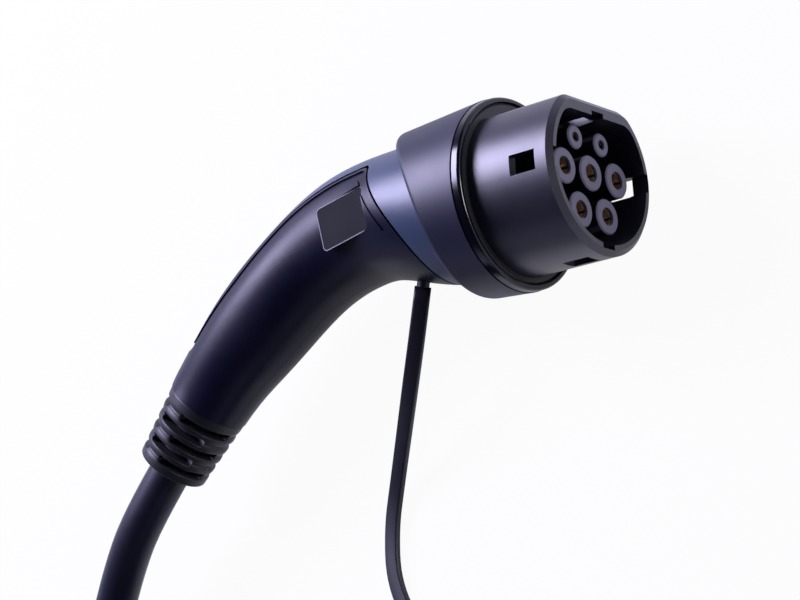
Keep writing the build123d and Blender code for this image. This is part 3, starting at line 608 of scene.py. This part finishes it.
@dataclass
class StrainRelief:
    """The ringed rubber sleeve round the cable, weakened by rows of staggered slots.

    Sizes are in millimetres, and distances along it are counted from the handle's end.

    Attributes:
        length: how far it stands out of the handle.
        front: its radius at the handle.
        back: its radius at its end.
        rows: rows of slots.
        first_row: the middle of the first row.
        pitch: from one row to the next.
        slot_height: width of a slot along the sleeve.
        slot_span: degrees that a slot takes.
        slots: slots in a row.
        first_slot: degrees to the middle of a slot of the first row.
        stagger: degrees by which every second row is turned.
        waist: how far the rubber between the slots lies under the rings.
        core: radius of the slots' floor.
        lip: rounding of the edges.
        root: length of the part inside the handle.
        root_radius: its radius.
        bore: radius of the hole for the cable.
        row_marks: where the mesh has rings beside a slot's middle, in shares of its half height.
        end_marks: distances of the rings at the sleeve's front end from that end.
        last_marks: distances of the rings at its rear end from that end.
        turn_reach: degrees on both sides of a slot's end in which the mesh is fine.
        turn_step: degrees between the mesh's lines elsewhere.
        turn_least: lines closer than this many degrees are joined.
        wall_width: how far a slot's steep wall spreads on the surface.
    """

    length: float = 31.4
    front: float = 16.6
    back: float = 14.4
    rows: int = 5
    first_row: float = 5.9
    pitch: float = 5.08
    slot_height: float = 3.0
    slot_span: float = 87.0
    slots: int = 3
    first_slot: float = 146.5
    stagger: float = -34.0
    waist: float = 1.0
    core: float = 9.6
    lip: float = 0.5
    root: float = 10.0
    root_radius: float = 13.7
    bore: float = 8.6
    row_marks: tuple = (0.0, 0.35, 0.7, 0.9, 1.0, 1.08, 1.2, 1.4, 1.69)
    end_marks: tuple = (0.0, 0.15, 0.5, 1.0, 2.2)
    last_marks: tuple = (0.0, 0.1, 0.3, 0.7, 1.4)
    turn_reach: float = 7.0
    turn_step: float = 4.0
    turn_least: float = 0.45
    wall_width: float = 0.2

    def stations(self) -> np.ndarray:
        """Distances along the sleeve, close together at the slots' edges."""
        steps = np.array(self.row_marks) * self.slot_height / 2
        steps = np.concatenate([-steps[:0:-1], steps])
        middles = self.first_row + self.pitch * np.arange(self.rows)
        beside = (middles[:, None] + steps).ravel()
        rear = self.length - np.array(self.last_marks)
        return np.unique(np.concatenate([beside, self.end_marks, rear]).round(3))

    def angles(self) -> np.ndarray:
        """Degrees round the sleeve, close together at the slots' ends."""
        step = 360.0 / self.slots
        reach = self.slot_span / 2
        marks = np.array([-reach, reach, self.stagger - reach, self.stagger + reach])
        near = (marks[:, None] + np.arange(-self.turn_reach, self.turn_reach + 1.0)).ravel()
        spread = np.arange(0.0, step, self.turn_step)
        base = np.unique((np.concatenate([near, spread]) % step).round(2))
        kept = base[np.diff(base, prepend=base[-1] - step) > self.turn_least]
        return (kept[None, :] + step * np.arange(self.slots)[:, None]).ravel() + self.first_slot

    def rounding(self, distance: np.ndarray) -> np.ndarray:
        """How far a round edge falls off at each distance from it: a quarter circle of the lip."""
        return self.lip * (1.0 - np.sqrt(1.0 - np.clip(1.0 - distance / self.lip, 0.0, 1.0) ** 2))

    def radii(self, along: np.ndarray, turn: np.ndarray) -> np.ndarray:
        """The outer radius at each distance and angle.

        The radius falls evenly along the sleeve. Between two rings it dips by the waist along a
        circular arc. A slot is a stadium on the unrolled surface: the distance to it, less half
        its height, is negative inside, where the radius drops to the core, and the edge is
        rounded over one lip outside.

        Args:
            along: distances in one column.
            turn: angles in one row.

        Returns:
            Radii as an array of distances by angles.
        """
        taper = self.front + (self.back - self.front) * along / self.length
        row = np.clip(np.round((along - self.first_row) / self.pitch), 0, self.rows - 1)
        off = along - (self.first_row + self.pitch * row)
        dip = np.clip(1.0 - np.abs(off) / (self.pitch / 2), 0.0, 1.0)
        ringed = taper - self.waist * (1.0 - np.sqrt(1.0 - dip**2))
        step = 360.0 / self.slots
        centre = self.first_slot + self.stagger * (row % 2)
        aside = np.abs((turn - centre + step / 2) % step - step / 2)
        reach = np.radians(aside) * taper
        straight = np.radians(self.slot_span / 2) * taper - self.slot_height / 2
        distance = np.hypot(np.maximum(reach - straight, 0.0), off) - self.slot_height / 2
        from_end = np.minimum(along, self.length - along)
        open_share = np.clip(0.5 - distance / self.wall_width, 0.0, 1.0)
        surface = ringed - self.rounding(distance) - self.rounding(from_end)
        return surface + (self.core - surface) * open_share

    def build(self, palette: Palette, node: str, end: np.ndarray, way: np.ndarray) -> bpy.types.Object:
        """Carries the radii round the cable's line and closes the sleeve inside.

        Each point is the end's place, minus the distance left along the line, plus the radius
        times a direction square to the line, turned by the angle.

        Args:
            palette: the materials.
            node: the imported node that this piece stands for.
            end: where the cable leaves the sleeve.
            way: the direction in which it leaves.

        Returns:
            The sleeve's object.
        """
        out = way / np.linalg.norm(way)
        up = np.array([0.0, 0.0, 1.0])
        up -= out * np.dot(up, out)
        up /= np.linalg.norm(up)
        aside = np.cross(out, up)
        turn = self.angles()
        along = self.stations()
        radii = self.radii(along[:, None], turn[None, :])
        plain = np.ones((1, len(turn)))
        root = [plain * self.bore, plain * self.root_radius, plain * self.root_radius]
        radii = np.concatenate([*root, radii, plain * self.bore])
        along = np.concatenate([[-self.root, -self.root, 0.0], along, [self.length]])
        back = (along - self.length)[:, None, None] * MM * out
        spoke = np.radians(turn)[None, :, None]
        rings = end + back + radii[:, :, None] * MM * (np.cos(spoke) * aside + np.sin(spoke) * up)
        piece = grid_mesh(node + "_sleeve", rings, capped=False)
        dress(piece, palette.get(BOOT_RUBBER))
        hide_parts(node)
        LOG.info("%s with %d faces", piece.name, len(piece.data.polygons))
        return piece


@dataclass
class LabelFrame:
    """The thin pale line printed near the edge of the bare plate on the handle's side.

    Attributes:
        layout: where the connector lies.
        middle: the plate's middle from the rim and the axis, with its height over the axis.
        tilt: degrees by which the plate is turned.
        size: the line's length and width as a frame.
        corner: radius of its corners.
        line: width of the line.
        proud: how far the ink stands over the plate.
        corner_step: degrees between the points of a round corner.
    """

    layout: Layout
    middle: tuple = (-0.102, 0.0015, 0.0230)
    tilt: float = 10.5
    size: tuple = (0.0240, 0.0175)
    corner: float = 0.0020
    line: float = 0.00035
    proud: float = 0.00005
    corner_step: float = 10.0

    def outline(self, inset: float) -> np.ndarray:
        """A rectangle with round corners: quarter circles placed at the corners' middles.

        Args:
            inset: how far it lies inside the frame's edge.

        Returns:
            Points round the frame, one row each.
        """
        turn = np.radians(np.arange(0.0, 360.0, self.corner_step) + self.corner_step / 2)
        circle = np.stack([np.cos(turn), np.sin(turn)], axis=1)
        reach = np.array(self.size) / 2 - self.corner
        return np.sign(circle) * reach + (self.corner - inset) * circle

    def build(self, palette: Palette) -> bpy.types.Object:
        """Lays the line as a flat closed band on the plate.

        Args:
            palette: the materials.

        Returns:
            The band's object.
        """
        outer, inner = self.outline(0.0), self.outline(self.line)
        low, high = -self.proud, self.proud
        rings = np.stack(
            [
                np.column_stack([edge, np.full(len(edge), height)])
                for edge, height in ((outer, low), (outer, high), (inner, high), (inner, low))
            ],
            axis=1,
        )
        lean = math.radians(self.tilt)
        turned = np.array(
            [
                [math.cos(lean), math.sin(lean), 0.0],
                [-math.sin(lean), math.cos(lean), 0.0],
                [0.0, 0.0, 1.0],
            ]
        )
        home = np.array([self.layout.rim_x, self.layout.axis_y, self.layout.axis_z])
        band = grid_mesh("label_line", rings @ turned + home + np.array(self.middle), capped=False)
        band.data.polygons.foreach_set("use_smooth", np.zeros(len(band.data.polygons), dtype=bool))
        return dress(band, palette.get(PLATE_LINE))


@dataclass
class TetherStrap:
    """The flat rubber strap from the handle's underside to the dust cap's lug.

    Attributes:
        layout: where the connector lies.
        width: the strap's width.
        thickness: its thickness.
        route: control points seen from the rim.
        corner: radius of its section's corners.
        roll: degrees by which its flat side is turned at the handle, and less on the way down.
        corner_step: degrees between the points of a round corner.
        length: the strap's real length.
    """

    layout: Layout
    width: float = 0.0062
    thickness: float = 0.0030
    route: list = field(
        default_factory=lambda: [
            (-0.0845, -0.0250, 0.0362),
            (-0.0903, -0.0414, 0.0342),
            (-0.1021, -0.0590, 0.0262),
            (-0.1170, -0.0753, 0.0142),
            (-0.1290, -0.0905, 0.0052),
            (-0.1357, -0.1067, 0.0024),
            (-0.1365, -0.1280, 0.0024),
            (-0.1270, -0.1470, 0.0024),
            (-0.11173, -0.15844, 0.0024),
            (-0.09701, -0.16694, 0.0024),
        ]
    )
    corner: float = 0.0009
    roll: float = 35.0
    corner_step: float = 15.0
    length: float = 0.18

    def section(self) -> np.ndarray:
        """The outline of the strap: four quarter circles of the corner radius, joined.

        Returns:
            Points across and over the strap, one row each.
        """
        turn = np.radians(np.arange(0.0, 360.0, self.corner_step) + self.corner_step / 2)
        circle = np.stack([np.cos(turn), np.sin(turn)], axis=1)
        reach = np.array([self.width / 2 - self.corner, self.thickness / 2 - self.corner])
        return np.sign(circle) * reach + self.corner * circle

    def build(self, palette: Palette) -> bpy.types.Object:
        """Carries the section along the route's smooth line.

        Across is square to the line and level, and over is square to both. Both are turned round
        the line by the roll, which fades with the height over the table. Each ring is the section
        times those two directions, added to the line's point.

        Args:
            palette: the materials.

        Returns:
            The strap's object.
        """
        line = nurbs("strap_line", self.layout.moved(self.route), 0.0)
        bare = bpy.data.meshes.new_from_object(line)
        path = np.empty(len(bare.vertices) * 3)
        bare.vertices.foreach_get("co", path)
        path = path.reshape(-1, 3)
        bpy.data.objects.remove(line)
        bpy.data.meshes.remove(bare)
        along = np.gradient(path, axis=0)
        along /= np.linalg.norm(along, axis=1, keepdims=True)
        across = np.cross(along, [0.0, 0.0, 1.0])
        across /= np.linalg.norm(across, axis=1, keepdims=True)
        over = np.cross(across, along)
        lean = np.radians(self.roll) * ((path[:, 2:] - path[-1, 2]) / (path[0, 2] - path[-1, 2]))
        across, over = (
            np.cos(lean) * across + np.sin(lean) * over,
            np.cos(lean) * over - np.sin(lean) * across,
        )
        section = self.section()
        rings = (
            path[:, None, :]
            + section[None, :, :1] * across[:, None, :]
            + section[None, :, 1:] * over[:, None, :]
        )
        strap = grid_mesh("tether_strap", rings, capped=True)
        dress(strap, palette.get(STRAP_RUBBER))
        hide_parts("strap")
        LOG.info("strap with %d rings", len(path))
        return strap


@dataclass(frozen=True)
class SoftBox:
    """A square lamp that faces the handle.

    Attributes:
        name: the lamp's name.
        aim: the direction from the handle to the lamp, as right, up and towards the camera.
        size: its edge.
        power: its power in watts.
        tint: its colour in sRGB hex.
    """

    name: str
    aim: tuple[float, float, float]
    size: float
    power: float
    tint: str


@dataclass
class Studio:
    """The floor, the lamps, the world and the camera.

    Attributes:
        layout: where the connector lies.
        eye: the camera's place, from the rim on the mating axis, with its height over that axis.
        right: the picture's right-hand direction.
        down: the picture's downward direction.
        forward: the direction of view.
        lens: focal length in millimetres for the sensor's width.
        sensor: the sensor's width in millimetres.
        far: how far the camera sees.
        lamps: the soft boxes.
        lamp_reach: from the handle to each of them.
        lamp_target: the place on the handle that they face, from the rim along X and Y.
        table_reach: from the table's middle to each edge.
        table_colour: sRGB hex of the table.
        table_white: share of plain white that the eye sees on the table.
        table_gloss: the same for glossy reflections.
        room_tint: sRGB hex of the room's light.
        room_light: strength of that light on matte surfaces.
        wall_rise: the heights of view between which the bright wall turns into the dark ceiling.
        wall_light: the strengths of wall and ceiling in glossy reflections.
    """

    layout: Layout
    eye: tuple = (0.42014, -0.21954, 0.62899)
    right: tuple = (0.76143, -0.06577, -0.64491)
    down: tuple = (-0.19749, -0.97108, -0.13414)
    forward: tuple = (-0.61744, 0.2295, -0.7524)
    lens: float = 100.0
    sensor: float = 36.0
    far: float = 20.0
    lamps: tuple[SoftBox, ...] = (
        SoftBox("key_soft_box", (-0.919, 0.395, 0.007), 0.6, 27.0, "#dad6ff"),
        SoftBox("front_soft_box", (0.74, 0.3, 0.6), 0.35, 12.0, "#f2ecf2"),
    )
    lamp_reach: float = 1.2
    lamp_target: tuple = (-0.09, -0.01)
    table_reach: float = 6.0
    table_colour: str = "#d6d6dc"
    table_white: float = 0.95
    table_gloss: float = 0.4
    room_tint: str = "#c6c8f6"
    room_light: float = 0.22
    wall_rise: tuple = (0.05, 0.4)
    wall_light: tuple = (0.9, 0.04)

    def camera(self) -> None:
        """Sets the camera at the photograph's place and angle."""
        data = bpy.data.cameras.new("camera")
        data.lens = self.lens
        data.sensor_width = self.sensor
        data.clip_end = self.far
        made = bpy.data.objects.new("camera", data)
        bpy.context.scene.collection.objects.link(made)
        axes = Matrix((self.right, -Vector(self.down), -Vector(self.forward))).transposed()
        place = Vector(self.eye) + Vector((self.layout.rim_x, self.layout.axis_y, self.layout.axis_z))
        made.matrix_world = Matrix.Translation(place) @ axes.to_4x4()
        bpy.context.scene.camera = made

    def lamp(self, box: SoftBox) -> None:
        """Hangs a soft box beside the connector and turns it to face the handle.

        Args:
            box: the lamp's place, size and light.
        """
        data = bpy.data.lights.new(box.name, "AREA")
        data.shape = "SQUARE"
        data.size = box.size
        data.energy = box.power
        data.color = linear(box.tint)[:3]
        made = bpy.data.objects.new(box.name, data)
        bpy.context.scene.collection.objects.link(made)
        axes = (Vector(self.right), -Vector(self.down), -Vector(self.forward))
        way = sum((axis * share for axis, share in zip(axes, box.aim)), Vector()).normalized()
        home = Vector((self.layout.rim_x, self.layout.axis_y, self.layout.axis_z))
        place = home + Vector((*self.lamp_target, 0.0)) + way * self.lamp_reach
        turned = way.to_track_quat("Z", "Y").to_matrix().to_4x4()
        made.matrix_world = Matrix.Translation(place) @ turned

    def floor(self) -> None:
        """Lays the pale table: it takes the shadow, and shows nearly white to the eye."""
        size = self.table_reach
        mesh = bpy.data.meshes.new("table")
        corners = [(-size, -size, 0), (size, -size, 0), (size, size, 0), (-size, size, 0)]
        mesh.from_pydata(corners, [], [(0, 1, 2, 3)])
        table = bpy.data.objects.new("table", mesh)
        bpy.context.scene.collection.objects.link(table)
        made = bpy.data.materials.new("matte_white_table")
        made.use_nodes = True
        tree = made.node_tree
        tree.nodes.clear()
        rays = add_node(tree, "LightPath", {})
        gloss = add_node(
            tree,
            "Math",
            {0: rays.outputs["Is Glossy Ray"], 1: self.table_gloss},
            operation="MULTIPLY",
        )
        matte = add_node(tree, "BsdfDiffuse", {"Color": linear(self.table_colour)})
        glow = add_node(tree, "Emission", {"Color": linear("#ffffff"), "Strength": 1.0})
        share = add_node(
            tree,
            "Math",
            {0: rays.outputs["Is Camera Ray"], 1: self.table_white, 2: gloss.outputs[0]},
            operation="MULTIPLY_ADD",
        )
        mixed = add_node(
            tree,
            "MixShader",
            {0: share.outputs[0], 1: matte.outputs[0], 2: glow.outputs[0]},
        )
        add_node(tree, "OutputMaterial", {"Surface": mixed.outputs[0]})
        mesh.materials.append(made)

    def world(self) -> None:
        """Fills the room with a soft cool light, and shows white to the eye.

        In gloss the white backdrop ends some way up, where the studio's dark ceiling begins.
        """
        world = bpy.data.worlds.new("room")
        bpy.context.scene.world = world
        world.use_nodes = True
        tree = world.node_tree
        tree.nodes.clear()
        rays = add_node(tree, "LightPath", {})
        way = add_node(tree, "TexCoord", {}).outputs["Generated"]
        rise = add_node(tree, "SeparateXYZ", {"Vector": way}).outputs["Z"]
        wall = add_node(
            tree,
            "MapRange",
            {
                "Value": rise,
                "From Min": self.wall_rise[0],
                "From Max": self.wall_rise[1],
                "To Min": self.wall_light[0],
                "To Max": self.wall_light[1],
            },
            interpolation_type="SMOOTHSTEP",
        )
        cool = linear(self.room_tint)
        room = add_node(tree, "Background", {"Color": cool, "Strength": self.room_light})
        studio = add_node(tree, "Background", {"Color": cool, "Strength": wall.outputs[0]})
        white = add_node(tree, "Background", {"Color": linear("#ffffff"), "Strength": 1.0})
        glossy = add_node(
            tree,
            "MixShader",
            {0: rays.outputs["Is Glossy Ray"], 1: room.outputs[0], 2: studio.outputs[0]},
        )
        mixed = add_node(
            tree,
            "MixShader",
            {0: rays.outputs["Is Camera Ray"], 1: glossy.outputs[0], 2: white.outputs[0]},
        )
        add_node(tree, "OutputWorld", {"Surface": mixed.outputs[0]})

    def build(self) -> None:
        """Sets up the whole studio."""
        bpy.context.scene.view_settings.view_transform = "Standard"
        self.camera()
        self.floor()
        self.world()
        for box in self.lamps:
            self.lamp(box)
        LOG.info("studio ready")


def main() -> None:
    """Builds the studio and every piece."""
    logging.basicConfig(level=logging.INFO, format="%(message)s")
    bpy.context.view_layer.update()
    layout = Layout.read()
    palette = Palette()
    Studio(layout).build()
    Hardware(palette).dress_all()
    cable = ChargingCable(layout)
    line = cable.points()
    relief = StrainRelief()
    relief.build(palette, "boot", line[0], line[1] - line[0])
    sleeve = relief.build(palette, "plug_boot", line[-1], line[-2] - line[-1])
    cable.build(palette, sleeve)
    LabelFrame(layout).build(palette)
    TetherStrap(layout).build(palette)


if __name__ == "__main__":
    main()
